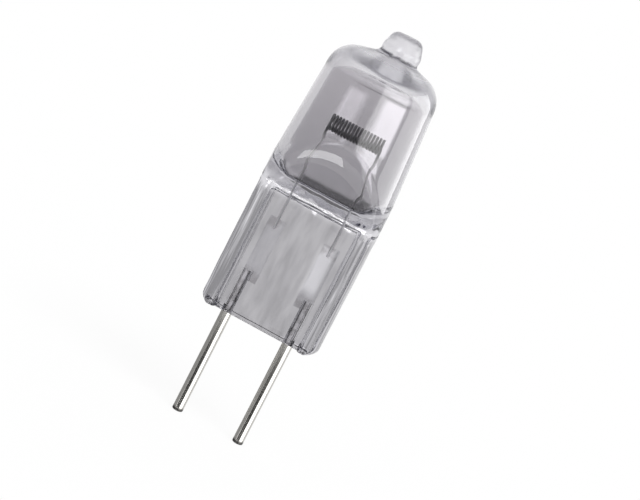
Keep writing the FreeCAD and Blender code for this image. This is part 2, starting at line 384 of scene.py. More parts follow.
def quartz_material(colours, q):
    """Clear quartz: deeper in tint down the bulb, milky at the tip and clouded where it was pressed, with
    painted shade on the floor of the gas space and a painted highlight over the foils.
    """
    material, f = new_material("quartz")
    place = f.place()
    height = f.along(place, "Z")
    pressed = 1 - f.step(height, *PRESS_MARKS_END)
    lines = f.cloud(f.stretched(place, (1.6, 0.5, 0.16)), 1.0, 2.0)
    mottle = f.cloud(f.stretched(place, (1.2, 1.2, 0.3)), 0.9, 2.0)
    clouded = f.step(mottle, 0.38, 0.66)
    bulb = f.blend(f.step(height, *BULB_TINT_RISE), colours.quartz_low, colours.quartz)
    thick = f.step(height, *DOME_CLEARING) + f.band(height, *JOINT_CLEARING)
    bulb = f.blend(thick, bulb, colours.quartz_thick)
    clear = f.blend(pressed, bulb, seal_tint(f, colours, place, clouded))
    milky = f.step(height, *MILKY_RISE)
    drips = f.step(height, *DRIPS_RISE) * f.cloud(place, 1.3, 2.0)
    relief = pressed * (0.7 * lines + 0.5 * mottle) + 3.0 * drips + 0.1 * f.cloud(place, 0.25, 1.0)
    volume = f.node(
        "ShaderNodeVolumeAbsorption", {}, {"Color": QUARTZ_DEPTH_COLOUR, "Density": QUARTZ_DENSITY})
    f.surface({
        # painted shade: the floor of the gas space is tinted nearly black
        "Base Color": f.blend(painted_floor_shade(f, place, q), clear, colours.quartz_painted_shade),
        "Roughness": 0.05 * pressed * clouded + 0.3 * milky,
        "IOR": QUARTZ_IOR,
        "Transmission Weight": 1.0,
        "Normal": f.bump(relief, 0.35, 0.05),
    }, Volume=volume)
    return material


# Length of leg below the coil over which the wire turns pale, in millimetres
LEG_FADE = 1.2
# Where a foil is darkened above its lower and below its upper end, in millimetres
LOW_WELD_FADE = (0.7, 1.5)
HIGH_WELD_FADE = (-1.3, -0.6)
# Where a pin is painted dark as shade above its cut end and where its plating ends, in millimetres
CUT_END_SHADE_FADE = (0.2, 0.5)
PLATING_FADE = (0.0, 0.3)
# Painted highlight: a bright stripe down the middle of each buried pin end, across the lamp in millimetres:
# from, to and softness
LEFT_PIN_HIGHLIGHT = (-3.33, -2.95, 0.12)
RIGHT_PIN_HIGHLIGHT = (3.02, 3.4, 0.12)


def rise(f, height, start, fade):
    """0 below and 1 above a place on the lamp, over a fade given in millimetres from it."""
    return f.step(height, *(start / MM + end for end in fade))


def tungsten_material(colours, sizes):
    """Drawn wire with fine die lines, dark in the coil and paler along the legs."""
    material, f = new_material("tungsten")
    place = f.place()
    grain = f.cloud(place, 9.0, 4.0)
    worn = f.step(f.cloud(place, 2.2, 2.0), 0.45, 0.7)
    coil = f.blend(worn * grain, colours.tungsten, colours.tungsten_worn)
    coil_foot = sizes.coil_height - sizes.coil_radius
    leg = 1 - rise(f, f.along(place, "Z"), coil_foot, (-LEG_FADE, 0))
    f.metal(f.blend(leg, coil, colours.tungsten_leg), 0.24 + 0.16 * grain, f.bump(grain, 0.3, 0.01))
    return material


def foil_material(colours, sizes):
    """Rolled foil with fine lines along it, darkened where it was welded."""
    material, f = new_material("foil")
    place = f.place()
    rolled = f.cloud(f.stretched(place, (14.0, 3.0, 0.6)), 1.0, 3.0)
    crease = f.cloud(place, 1.4, 2.0)
    height = f.along(place, "Z")
    low_weld = 1 - rise(f, height, sizes.foil_bottom, LOW_WELD_FADE)
    high_weld = rise(f, height, sizes.foil_top, HIGH_WELD_FADE)
    heated = 0.5 * (low_weld + high_weld) * f.step(crease, 0.3, 0.6)
    shade = f.blend(heated, colours.foil, colours.foil_heated)
    f.metal(shade, 0.12 + 0.1 * rolled + 0.1 * heated, f.bump(0.6 * rolled + crease, 0.4, 0.02))
    return material


def pin_material(colours, sizes):
    """Bright drawn wire with fine lines along it, dull inside the quartz, dull and painted dark as shade at
    its cut end, with a painted highlight down each buried end.
    """
    material, f = new_material("pin_metal")
    place = f.place()
    drawn = f.cloud(f.stretched(place, (11.0, 11.0, 0.25)), 1.0, 3.0)
    smudge = 0.25 * f.step(f.cloud(place, 0.7, 2.0), 0.5, 0.75)
    height = f.along(place, "Z")
    shaded_cut_end = 1 - rise(f, height, sizes.pin_tip, CUT_END_SHADE_FADE)
    buried = rise(f, height, sizes.plating_end, PLATING_FADE)
    dull = f.greater(shaded_cut_end, smudge)
    free = f.blend(smudge, colours.pin, colours.pin_dull)
    # painted shade: the cut end is painted near black
    free = f.blend(shaded_cut_end, free, colours.pin_cut_painted_shade)
    oxide = f.step(f.cloud(place, 1.5, 3.0), 0.4, 0.62)
    across = f.along(place, "X")
    # painted highlight: a near-white stripe down the middle of each buried pin end
    middle = f.band(across, *LEFT_PIN_HIGHLIGHT) + f.band(across, *RIGHT_PIN_HIGHLIGHT)
    buried_and_highlight = f.blend(middle * (1 - 0.5 * oxide), colours.pin_buried, colours.pin_painted_highlight)
    f.metal(f.blend(buried, free, buried_and_highlight), 0.13 + 0.1 * drawn + 0.18 * dull, f.bump(drawn, 0.25, 0.01))
    return material


# Modelling by hand


def start_fresh():
    """Leaves edit mode and selects nothing."""
    if bpy.context.object and bpy.context.object.mode != "OBJECT":
        bpy.ops.object.mode_set(mode="OBJECT")
    bpy.ops.object.select_all(action="DESELECT")


def select_only(obj):
    """Makes one object the selected and active one."""
    start_fresh()
    obj.select_set(True)
    bpy.context.view_layer.objects.active = obj


def settle(obj, name):
    """Names an object and puts its place into its mesh."""
    select_only(obj)
    obj.name = name
    obj.data.name = name
    bpy.ops.object.transform_apply(location=True, rotation=True, scale=True)
    return obj


def edit(obj):
    """Opens an object's mesh with all of it selected."""
    select_only(obj)
    bpy.ops.object.mode_set(mode="EDIT")
    bpy.ops.mesh.select_all(action="SELECT")
    return bmesh.from_edit_mesh(obj.data)


def pick(obj, test):
    """Selects the points of an open mesh that pass a test, with the edges and faces between them."""
    mesh = bmesh.from_edit_mesh(obj.data)
    bpy.ops.mesh.select_mode(type="VERT")
    bpy.ops.mesh.select_all(action="DESELECT")
    for point in mesh.verts:
        point.select_set(bool(test(point.co)))
    mesh.select_flush_mode()
    bmesh.update_edit_mesh(obj.data)


def shift_picked(obj, move):
    """Moves each selected point of an open mesh."""
    mesh = bmesh.from_edit_mesh(obj.data)
    for point in mesh.verts:
        if point.select:
            point.co = move(point.co)
    bmesh.update_edit_mesh(obj.data)


def apply_modifier(obj, kind, **settings):
    """Adds a modifier, sets it up and applies it."""
    select_only(obj)
    modifier = obj.modifiers.new(kind.title(), kind)
    for name, value in settings.items():
        setattr(modifier, name, value)
    bpy.ops.object.modifier_apply(modifier=modifier.name)


def turn_faces(obj, inside=False):
    """Merges doubled points and turns all faces outwards or inwards."""
    edit(obj)
    bpy.ops.mesh.remove_doubles(threshold=TOUCH)
    bpy.ops.mesh.normals_make_consistent(inside=inside)
    start_fresh()


def smooth(obj, degrees):
    """Smooth shading with crisp edges past an angle."""
    select_only(obj)
    bpy.ops.object.shade_smooth_by_angle(angle=math.radians(degrees))


def finish_piece(obj, material, slot, *nodes):
    """Gives a piece its finish, hangs it under the root and hides the CAD nodes that it stands for."""
    obj.data.materials.clear()
    obj.data.materials.append(material)
    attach(obj, "root")
    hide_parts(*nodes)


def own_copy(obj, name):
    """A copy of an object with a mesh of its own."""
    copy = obj.copy()
    copy.data = obj.data.copy()
    copy.name = name
    copy.data.name = name
    bpy.context.scene.collection.objects.link(copy)
    return copy


def rounded_line(corners, arc_steps=10):
    """Points along a line of corners (radius, height, rounding), with each rounding as an arc."""
    points = []
    for i, (radius, height, rounding) in enumerate(corners):
        corner = Vector((radius, height))
        if not rounding:
            points.append(corner)
            continue
        before = (Vector(corners[i - 1][:2]) - corner).normalized()
        after = (Vector(corners[i + 1][:2]) - corner).normalized()
        half = before.angle(after) / 2
        start = corner + before * rounding / math.tan(half)
        end = corner + after * rounding / math.tan(half)
        centre = corner + (before + after).normalized() * rounding / math.sin(half)
        turn = (start - centre).angle_signed(end - centre)
        for step in range(arc_steps + 1):
            spoke = (start - centre).copy()
            spoke.rotate(Matrix.Rotation(-turn * step / arc_steps, 2))
            points.append(centre + spoke)
    return points


def divided(points, step):
    """The same line with runs no longer than about the step that a function gives for their height."""
    line = [points[0]]
    for end in points[1:]:
        while (end - line[-1]).length > 1.5 * step(line[-1].y):
            line.append(line[-1] + (end - line[-1]).normalized() * step(line[-1].y))
        line.append(end)
    return line


def draw_out(stations, start):
    """Extrudes the selected ring through stations of (radius, height), scaling it at each."""
    radius, height = start
    for next_radius, next_height in stations:
        bpy.ops.mesh.extrude_region_move(TRANSFORM_OT_translate={"value": (0, 0, next_height - height)})
        scale = next_radius / radius
        bpy.ops.transform.resize(value=(scale, scale, 1), center_override=(0, 0, next_height))
        radius, height = next_radius, next_height


# Quartz envelope


def wall_radius(q, height):
    """Outer radius of the tapered bulb wall at a height."""
    taper = (q.bulb_radius - q.shoulder_radius) / (q.shoulder_height - q.wall_foot)
    return q.bulb_radius - taper * (height - q.wall_foot)


def dome_surface(q, radius):
    """Height of the sloping dome above a radius."""
    slope = (q.dome_height - q.shoulder_height) / (q.shoulder_radius - q.tip_neck)
    return q.shoulder_height + slope * (q.shoulder_radius - radius)


def smooth_step(value, low, high):
    """0 below low, 1 above high and smooth between them."""
    t = min(1, max(0, (value - low) / (high - low)))
    return t * t * (3 - 2 * t)


def soft_least(first, second, width):
    """The lesser of two values, rounded where they are within a width of each other."""
    near = max(width - abs(first - second), 0) / width
    return min(first, second) - near * near * width / 4


def jaw_line(q):
    """Outline of the press jaws as points (half depth, height): flat, then opening upwards."""
    wide = 2 * q.bulb_radius
    steepness = q.jaw_opening / (q.bulb_radius - q.seal_half_depth)
    top = q.jaw_height + steepness * (wide - q.seal_half_depth)
    return rounded_line([
        (q.seal_half_depth, 0, 0),
        (q.seal_half_depth, q.jaw_height, q.jaw_round),
        (wide, top, 0),
    ])


def gas_line(q):
    """Outline of the gas space across the seal as points (half depth, height), a wall inside the jaws."""
    wide = 2 * q.bulb_radius
    steepness = q.jaw_opening / (q.bulb_radius - q.seal_half_depth)
    foot = q.jaw_height + q.wall * math.hypot(1, steepness)
    floor_depth = q.seal_half_depth + (q.floor_height - foot) / steepness
    top = foot + steepness * (wide - q.seal_half_depth)
    return rounded_line([
        (0, q.floor_height, 0),
        (floor_depth, q.floor_height, q.floor_round / 2),
        (wide, top, 0),
    ])


def depth_at(line, height):
    """Half the depth that an outline of (half depth, height) has at a height."""
    for low, high in zip(line, line[1:]):
        if low.y <= height <= high.y and low.y < high.y:
            return low.x + (high.x - low.x) * (height - low.y) / (high.y - low.y)
    return line[-1].x


def press(obj, line, softness):
    """Presses the whole of an open round mesh flat between jaws."""

    def pressed(co):
        depth = soft_least(abs(co.y), depth_at(line, co.z), softness)
        return Vector((co.x, math.copysign(depth, co.y), co.z))

    bpy.ops.mesh.select_all(action="SELECT")
    shift_picked(obj, pressed)


def recess(q, x, height):
    """How far the press jaw has set the web back from the beads."""
    across = 1 - smooth_step(abs(x), q.web_half_width, q.web_half_width + q.bead_draft)
    up = 1 - smooth_step(height, q.web_height, q.web_height + q.web_ramp)
    return (q.seal_half_depth - q.web_half_depth) * across * up


def quarter_round(height, rounding):
    """How far a rounded lower edge is drawn in at a height above its foot."""
    if height >= rounding:
        return 0
    return rounding - math.sqrt(rounding ** 2 - (rounding - height) ** 2)


def stamped(q, co):
    """Place of a point of the seal once its web is set back and its lower end rounded."""
    side = smooth_step(abs(co.x), q.bulb_radius - q.side_round, q.bulb_radius)
    x = co.x - math.copysign(side * quarter_round(co.z, q.corner_round), co.x)
    y = co.y - math.copysign(recess(q, co.x, co.z), co.y)
    return Vector((x, y * (1 - quarter_round(co.z, q.edge_round) / q.seal_half_depth), co.z))


# Heights from the dome between which the tip starts to lean and to be uneven
TIP_LEAN_RISE = (-0.8 * MM, 0.6 * MM)
TIP_MELT_RISE = (-0.5 * MM, 0.8 * MM)
# Heights where the uneven joint and web start, are at their full depth, fade and end
JOINT_MELT_SPAN = (10.8 * MM, 12.0 * MM, 13.0 * MM, 15.0 * MM)
WEB_MELT_SPAN = (0.2 * MM, 1.0 * MM, 11.0 * MM, 12.5 * MM)
# Uneven quartz: depth, size of the waves, and a number that sets their pattern
TIP_MELT = (0.06 * MM, 1.5 * MM, 7)
JOINT_MELT = (0.05 * MM, 0.9 * MM, 11)
WEB_MELT = (0.025 * MM, 1.6 * MM, 23)
# Steps between the noise patterns of the three axes
NOISE_STEP = Vector((17, 5, 3))


def above_dome(q, height, rise_ends):
    """0 below and 1 above a rise given from the dome."""
    return smooth_step(height, *(q.dome_height + end for end in rise_ends))


def within(height, span):
    """1 in the middle of a span and 0 outside it."""
    start, full, fading, end = span
    return smooth_step(height, start, full) * (1 - smooth_step(height, fading, end))


def tip_shift(q, height):
    """How far the exhaust tip leans to the right at a height."""
    return Vector((q.tip_lean * above_dome(q, height, TIP_LEAN_RISE), 0, 0))


def melt(point, share, depth, size, seed):
    """A small push that leaves melted quartz a little uneven."""
    place = point / size + Vector((seed, seed, seed))
    pushes = (noise.noise(place), noise.noise(place + NOISE_STEP), noise.noise(place.zxy))
    return Vector(pushes) * depth * share


def melted(q, co):
    """Place of a point of the outside once the flame has left its tip, joint and web uneven."""
    place = co + tip_shift(q, co.z)
    place += melt(co, above_dome(q, co.z, TIP_MELT_RISE), *TIP_MELT)
    place += melt(co, within(co.z, JOINT_MELT_SPAN), *JOINT_MELT)
    place += melt(co, within(co.z, WEB_MELT_SPAN), *WEB_MELT)
    return place


def ring_angles(q):
    """Angles of the points round the tube, close together where the pressed outline turns."""
    # Angle where each stretch of the outline ends, and its number of steps
    stops = (
        (math.asin((q.seal_half_depth - q.press_softness) / q.bulb_radius), 3),
        (math.asin((q.seal_half_depth + q.press_softness) / q.bulb_radius), 18),
        (math.acos((q.web_half_width + q.bead_draft) / q.bulb_radius), 4),
        (math.acos(q.web_half_width / q.bulb_radius), 6),
        (math.pi / 2, 20),
    )
    quarter = [0]
    for end, parts in stops:
        start = quarter[-1]
        quarter += [start + (end - start) * i / parts for i in range(1, parts + 1)]
    half = quarter + [math.pi - turn for turn in reversed(quarter[1:-1])]
    return half + [math.pi + turn for turn in half]


LONGEST_STEP = 0.6 * MM
# Points round the gas space, and the rings of its floor as shares of its outline
CAVITY_POINTS = 160
FLOOR_RINGS = (0.7, 0.42, 0.168)
# Points round a pin and its bore, and how far the drill reaches out of the quartz
PIN_POINTS = 48
DRILL_END = 1 * MM
# Share of an end's radius where its last ring closes to a point
LAST_RING = 1 / 8


def tube_step(q, height):
    """Length of a step along the tube at a height, short where the pressed shape turns."""
    # Height where each stretch of the tube ends, and the length of its steps in millimetres
    steps = (
        (q.edge_round, 0.03),
        (q.corner_round, 0.1),
        (q.web_height - 0.4 * MM, 0.4),
        (q.jaw_height + 0.6 * MM, 0.06),
        (q.jaw_height + q.jaw_opening + 1 * MM, 0.16),
    )
    for top, step in steps:
        if height < top:
            return step * MM
    return LONGEST_STEP


def outer_shell(q):
    """Outside of the quartz: a round tube drawn up to its tip, then pressed flat below the bulb."""
    line = rounded_line([
        (q.bulb_radius, 0, 0),
        (q.bulb_radius, q.wall_foot, q.foot_round),
        (q.shoulder_radius, q.shoulder_height, q.shoulder_round),
        (q.tip_neck, q.dome_height, q.tip_neck_round),
        (q.tip_radius, q.dome_height + q.tip_bulge, q.tip_round),
        (q.tip_top, q.tip_height, q.tip_round),
        (q.tip_top * LAST_RING, q.tip_height, 0),
    ])
    line = divided(line, lambda height: tube_step(q, height))
    angles = ring_angles(q)
    start_fresh()
    bpy.ops.mesh.primitive_circle_add(vertices=len(angles), radius=q.bulb_radius)
    shell = settle(bpy.context.object, "quartz_envelope_glass")
    mesh = edit(shell)
    for point, turn in zip(mesh.verts, angles):
        point.co = Vector((math.cos(turn), math.sin(turn), 0)) * q.bulb_radius
    bmesh.update_edit_mesh(shell.data)
    draw_out(line[1:], line[0])
    bpy.ops.mesh.merge(type="CENTER")
    pick(shell, lambda co: co.z < TOUCH)
    bpy.ops.mesh.edge_face_add()
    press(shell, jaw_line(q), q.press_softness)
    shift_picked(shell, lambda co: stamped(q, co))
    shift_picked(shell, lambda co: melted(q, co))
    turn_faces(shell)
    return shell


def inner_cavity(q):
    """Gas space inside the bulb with the stub of the exhaust bore, its faces turned into the space."""
    shoulder = wall_radius(q, q.shoulder_height - q.dome_thickness) - q.wall
    bore_foot = dome_surface(q, q.bore_radius) - q.dome_thickness
    line = rounded_line([
        (0, q.floor_height, 0),
        (wall_radius(q, q.floor_height) - q.wall, q.floor_height, q.floor_round),
        (shoulder, dome_surface(q, shoulder) - q.dome_thickness, q.cavity_shoulder_round),
        (q.bore_radius, bore_foot, q.bore_round),
        (q.bore_end, bore_foot + q.bore_depth, q.bore_round),
        (q.bore_end * LAST_RING, bore_foot + q.bore_depth, 0),
    ])
    line = divided(line[1:], lambda height: tube_step(q, height))
    start_fresh()
    bpy.ops.mesh.primitive_circle_add(
        vertices=CAVITY_POINTS, radius=line[0].x, location=(0, 0, q.floor_height))
    cavity = settle(bpy.context.object, "gas_space")
    edit(cavity)
    draw_out(line[1:], line[0])
    bpy.ops.mesh.merge(type="CENTER")
    press(cavity, gas_line(q), q.gas_softness)
    shift_picked(cavity, lambda co: co + tip_shift(q, co.z))
    pick(cavity, lambda co: co.z < q.floor_height + TOUCH)
    draw_out([(share, q.floor_height) for share in FLOOR_RINGS], (1, q.floor_height))
    bpy.ops.mesh.merge(type="CENTER")
    turn_faces(cavity, inside=True)
    return cavity


def bore_pins(shell, q, m):
    """Opens the bores that hold the buried pin ends."""
    depth = m.pin_top + q.bore_gap
    for side in SIDES.values():
        start_fresh()
        bpy.ops.mesh.primitive_cylinder_add(
            vertices=PIN_POINTS, radius=m.core_radius + q.bore_gap, depth=depth + DRILL_END,
            location=(side * m.pin_x, 0, (depth - DRILL_END) / 2))
        drill = settle(bpy.context.object, "drill")
        apply_modifier(shell, "BOOLEAN", operation="DIFFERENCE", solver="EXACT", object=drill)
        bpy.data.objects.remove(drill)


class CAPSULE_OT_quartz(bpy.types.Operator):
    """Model the quartz envelope: tapered bulb, exhaust tip and press seal as one hollow piece"""

    bl_idname = "capsule.quartz"
    bl_label = "Quartz envelope"

    def execute(self, context):
        q = context.scene.capsule_quartz
        shell = outer_shell(q)
        bore_pins(shell, q, context.scene.capsule_metal)
        cavity = inner_cavity(q)
        start_fresh()
        cavity.select_set(True)
        shell.select_set(True)
        context.view_layer.objects.active = shell
        bpy.ops.object.join()
        smooth(shell, 40)
        finish_piece(shell, quartz_material(context.scene.capsule_colours, q), "quartz", "quartz_envelope")
        return {"FINISHED"}


# Filament


def lead_on(obj, path):
    """Extrudes the selected wire end along a path, turning it with the path."""
    points = [Vector(p) for p in path]
    for i in range(1, len(points)):
        before = points[i] - points[i - 1]
        after = points[i + 1] - points[i] if i + 1 < len(points) else before
        came = points[i - 1] - points[i - 2] if i > 1 else before
        old = (came.normalized() + before.normalized()).normalized()
        new = (before.normalized() + after.normalized()).normalized()
        turn = old.rotation_difference(new).to_matrix()
        bpy.ops.mesh.extrude_region_move()
        shift_picked(obj, lambda co: points[i] + turn @ (co - points[i - 1]))


# Points round the wire and steps in half a turn of the coil
WIRE_POINTS = 12
HALF_TURN_STEPS = 14
# How far the points of a wire end lie from its level
END_FLATNESS = 0.02 * MM
# Hook that turns the wire down at the end of the coil: its radius, angle, steps, and creep at each step
HOOK_RADIUS = 0.25 * MM
HOOK_TURN = math.radians(60)
HOOK_STEPS = 6
HOOK_CREEP = 0.01 * MM
# Length on each side of the bend where a leg enters the quartz, and the steps of that bend
BEND_LENGTH = 0.5 * MM
BEND_STEPS = 5
# Shares of a leg's slope and of its foot where its rings lie
SLOPE_RINGS = (0.35, 0.7, 1)
FOOT_RINGS = (0.5, 1)


def coil_leg(w, side, end):
    """Path of a filament leg from the end of the coil down to its foil."""
    bend = Vector((side * w.leg_x, w.leg_y, w.leg_bend))
    foot = Vector((side * w.leg_x, w.leg_y, w.leg_foot))
    back = math.copysign(HOOK_RADIUS, end.y)
    hook = []
    for i in range(1, HOOK_STEPS + 1):
        turn = HOOK_TURN * i / HOOK_STEPS
        inward = -back * (1 - math.cos(turn))
        hook.append(end + Vector((side * HOOK_CREEP * i, inward, -HOOK_RADIUS * math.sin(turn))))
    knee = bend + (hook[-1] - bend).normalized() * BEND_LENGTH
    path = [end] + hook + [hook[-1].lerp(knee, t) for t in SLOPE_RINGS]
    below = bend + Vector((0, 0, -BEND_LENGTH))
    for i in range(1, BEND_STEPS + 1):
        t = i / BEND_STEPS
        path.append(knee.lerp(bend, t).lerp(bend.lerp(below, t), t))
    return path + [below.lerp(foot, t) for t in FOOT_RINGS]


class CAPSULE_OT_filament(bpy.types.Operator):
    """Model the tungsten filament: a coil across the bulb with a leg at each end"""

    bl_idname = "capsule.filament"
    bl_label = "Filament"

    def execute(self, context):
        w = context.scene.capsule_wire
        advance = w.coil_length / w.half_turns
        start_fresh()
        bpy.ops.mesh.primitive_circle_add(
            vertices=WIRE_POINTS, radius=w.wire_radius, location=(-w.coil_length / 2, w.coil_radius, 0))
        wire = settle(bpy.context.object, "filament_wire")
        apply_modifier(
            wire, "SCREW", axis="X", angle=math.pi, screw_offset=advance, iterations=w.half_turns,
            steps=HALF_TURN_STEPS, render_steps=HALF_TURN_STEPS, use_merge_vertices=False)
        for point in wire.data.vertices:
            point.co.z += w.coil_height
        for side in SIDES.values():
            end = Vector((side * w.coil_length / 2, -side * w.coil_radius, w.coil_height))
            edit(wire)
            reach = 1.2 * w.wire_radius
            pick(wire, lambda co: (co - end).length < reach and abs(co.z - end.z) < END_FLATNESS)
            lead_on(wire, coil_leg(w, side, end))
            bpy.ops.mesh.edge_face_add()
        turn_faces(wire)
        smooth(wire, 50)
        finish_piece(wire, tungsten_material(context.scene.capsule_colours, w), "tungsten", "filament")
        return {"FINISHED"}


# Foils

# How far each foil has turned about its length as the press closed on it
FOIL_TURNS = {"left": math.radians(-2), "right": math.radians(5)}
# Parts across and along a foil
FOIL_PARTS = (20, 64)
# Crinkles: depth, and waves in a metre across and along the foil
CRINKLE_DEPTH = 0.03 * MM
CRINKLE_WAVES = (900, 420)
# Ragged long edges: share of the width, and waves in a metre
RAGGED_SHARE = 0.03
RAGGED_WAVES = 1500
# Welds: distance of the lower ones from the foil's middle, places from the two ends, radius and depth
LOW_WELD_X = 0.3 * MM
LOW_WELDS = (0.3 * MM, 0.7 * MM)
HIGH_WELDS = (0.3 * MM, 0.75 * MM)
WELD_RADIUS = 0.13 * MM
WELD_DEPTH = 0.02 * MM
# Share of the half width where a foil starts to thin, and the thickness that its edge loses
THINNING_START = 0.75
THINNING = 0.7


def crinkle(foil, m, side, slope):
    """Crinkles a flat foil, dimples it at its welds and puts it in its place."""
    welds = [Vector((LOW_WELD_X, m.foil_bottom + up)) for up in LOW_WELDS]
    welds += [Vector((0, m.foil_top - down)) for down in HIGH_WELDS]
    for point in foil.data.vertices:
        flat = Vector((point.co.x * side, point.co.z))
        wave = noise.noise(Vector((flat.x * CRINKLE_WAVES[0], side * 7, flat.y * CRINKLE_WAVES[1])))
        dimple = sum(math.exp(-((flat - weld).length / WELD_RADIUS) ** 2) for weld in welds)
        ragged = noise.noise(Vector((side * 3, flat.y * RAGGED_WAVES, 1)))
        point.co.y += CRINKLE_DEPTH * wave - WELD_DEPTH * dimple
        point.co.x *= 1 + RAGGED_SHARE * ragged
        point.co.y += point.co.x * slope
        point.co.x += side * m.foil_x


def thin_edges(foil, m, side, slope):
    """Thins the long edges of a foil."""
    for point in foil.data.vertices:
        across = point.co.x - side * m.foil_x
        middle = m.foil_face + m.foil_thickness / 2 + across * slope
        thin = 1 - THINNING * smooth_step(abs(across) / m.foil_half_width, THINNING_START, 1)
        point.co.y = middle + (point.co.y - middle) * thin


class CAPSULE_OT_foils(bpy.types.Operator):
    """Model the two sealing foils, thin at their long edges and dimpled at their welds"""

    bl_idname = "capsule.foils"
    bl_label = "Sealing foils"

    def execute(self, context):
        m = context.scene.capsule_metal
        material = foil_material(context.scene.capsule_colours, m)
        start_fresh()
        bpy.ops.mesh.primitive_grid_add(
            x_subdivisions=FOIL_PARTS[0], y_subdivisions=FOIL_PARTS[1], size=1,
            rotation=(math.radians(90), 0, 0),
            location=(0, m.foil_face + m.foil_thickness / 2, (m.foil_top + m.foil_bottom) / 2))
        blank = bpy.context.object
        blank.scale = (2 * m.foil_half_width, m.foil_top - m.foil_bottom, 1)
        blank = settle(blank, "foil_blank")
        for name, side in SIDES.items():
            slope = math.tan(FOIL_TURNS[name])
            foil = own_copy(blank, "foil_" + name + "_strip")
            crinkle(foil, m, side, slope)
            turn_faces(foil)
            apply_modifier(foil, "SOLIDIFY", thickness=m.foil_thickness, offset=0)
            thin_edges(foil, m, side, slope)
            smooth(foil, 60)
            finish_piece(foil, material, "molybdenum_foil", "foil_" + name)
        bpy.data.objects.remove(blank)
        return {"FINISHED"}


# Contact pins


class CAPSULE_OT_pins(bpy.types.Operator):
    """Model the two contact pins, plated below the quartz and flattened where the foil is welded"""

    bl_idname = "capsule.pins"
    bl_label = "Contact pins"

    def execute(self, context):
        m = context.scene.capsule_metal
        material = pin_material(context.scene.capsule_colours, m)
        start_fresh()
        bpy.ops.mesh.primitive_cylinder_add(
            vertices=PIN_POINTS, radius=m.pin_radius, depth=m.plating_end - m.pin_tip,
            location=(0, 0, (m.plating_end + m.pin_tip) / 2))
        blank = settle(bpy.context.object, "pin_blank")
        edit(blank)
        pick(blank, lambda co: co.z < m.pin_tip + TOUCH)
        bpy.ops.mesh.bevel(offset=m.tip_chamfer, segments=4, affect="EDGES")
        pick(blank, lambda co: co.z > m.plating_end - TOUCH)
        core = [(m.core_radius, height) for height in (m.plating_end, m.foil_bottom, m.pin_top)]
        draw_out(core, (m.pin_radius, m.plating_end))
        pick(blank, lambda co: co.z > m.foil_bottom + TOUCH and co.y > m.foil_face)
        shift_picked(blank, lambda co: Vector((co.x, m.foil_face, co.z)))
        turn_faces(blank)
        for name, side in SIDES.items():
            pin = own_copy(blank, "pin_" + name + "_wire")
            for point in pin.data.vertices:
                point.co.x += side * m.pin_x
            smooth(pin, 35)
            finish_piece(pin, material, "pin_metal", "pin_" + name)
        bpy.data.objects.remove(blank)
        return {"FINISHED"}


# Stage

# Upright panels that reflections show: first and last angle to the right of the camera, lower and upper
# height in metres, brightness and softness of the edges
PANELS = {
    "key_panel": (8, 68, -0.016, 0.16, 5.5, 0.1),
    "side_panel": (74, 130, -0.016, 0.16, 4.5, 0.02),
    "front_panel": (-44, 8, -0.016, 0.16, 0.1, 0.02),
    "left_panel": (-115, -46, -0.016, 0.16, 0.4, 0.02),
    "low_front_panel": (-45, 23, -0.15, -0.047, 0.06, 0.02),
    "low_key_panel": (25, 84, -0.15, -0.018, 2.6, 0.02),
    "low_right_panel": (86, 155, -0.15, -0.018, 0.8, 0.02),
    "low_left_panel": (-155, -47, -0.15, -0.018, 0.35, 0.02),
    "joint_panel": (-52, -7, -0.30, -0.152, 7.0, 0.02),
}
PANEL_DISTANCE = 0.20
# Panels behind the lamp that the quartz shows: distance to the right of the camera's line, height, width
# and height of the panel in metres, brightness and softness of the edges
BACK_LIGHTS = {
    "back_light_right": (0.026, -0.016, 0.046, 0.066, 2.1, 0.2),
    "back_light_left": (-0.025, -0.018, 0.036, 0.024, 1.6, 0.3),
    "back_light_top": (0.026, 0.2, 0.046, 0.2, 1.5, 0.2),
    "back_shade": (0.035, 0.073, 0.145, 0.03, 0.25, 0.2),
}
BACK_DISTANCE = 0.4
# Dark panel below the lamp that the slope under the bulb reflects: place, way that it faces, size,
# brightness and softness
UNDER_PANEL = ((0, -0.02, -0.155), (0, 0, 1), (0.08, 0.08), 0.05, 0.02)
# Floor: size in metres, colour, and share of plain white that the camera sees in it
FLOOR_SIZE = 20.0
FLOOR_COLOUR = (0.95, 0.95, 0.95, 1)
FLOOR_GLOW = 0.9
WHITE = (1, 1, 1, 1)
# Soft lamp: angles to the right of the camera and above the floor, and how wide it looks
SUN_RIGHT = math.radians(40)
SUN_HEIGHT = math.radians(60)
SUN_WIDTH = math.radians(25)
# How often light may be reflected or bent on its way through the quartz
BOUNCES = 32


def seen_as_white(f):
    """1 for what the camera, a reflection or the quartz sees, and 0 for light on the object."""
    path = f.tree.nodes.new("ShaderNodeLightPath").outputs
    seen = Socket(f, path["Is Camera Ray"])
    for name in ("Is Glossy Ray", "Is Transmission Ray"):
        seen = f.greater(seen, Socket(f, path[name]))
    return seen


def white_world(scene, s):
    """White all round, at a soft level for the light that falls on the object."""
    scene.world = bpy.data.worlds.new("studio")
    scene.world.use_nodes = True
    f = Finish(scene.world.node_tree)
    strength = s.ambient + (1 - s.ambient) * seen_as_white(f)
    background = f.node("ShaderNodeBackground", {}, {"Color": WHITE, "Strength": strength})
    f.output({"Surface": background}, "ShaderNodeOutputWorld")


def stage_panel(name, centre, facing, width, height):
    """A flat upright or level panel that faces a way, as part of the stage."""
    start_fresh()
    bpy.ops.mesh.primitive_plane_add(size=1)
    panel = bpy.context.object
    panel.scale = (width, height, 1)
    panel.rotation_mode = "QUATERNION"
    panel.rotation_quaternion = Vector(facing).to_track_quat("Z", "Y")
    panel.location = centre
    settle(panel, name)
    return panel


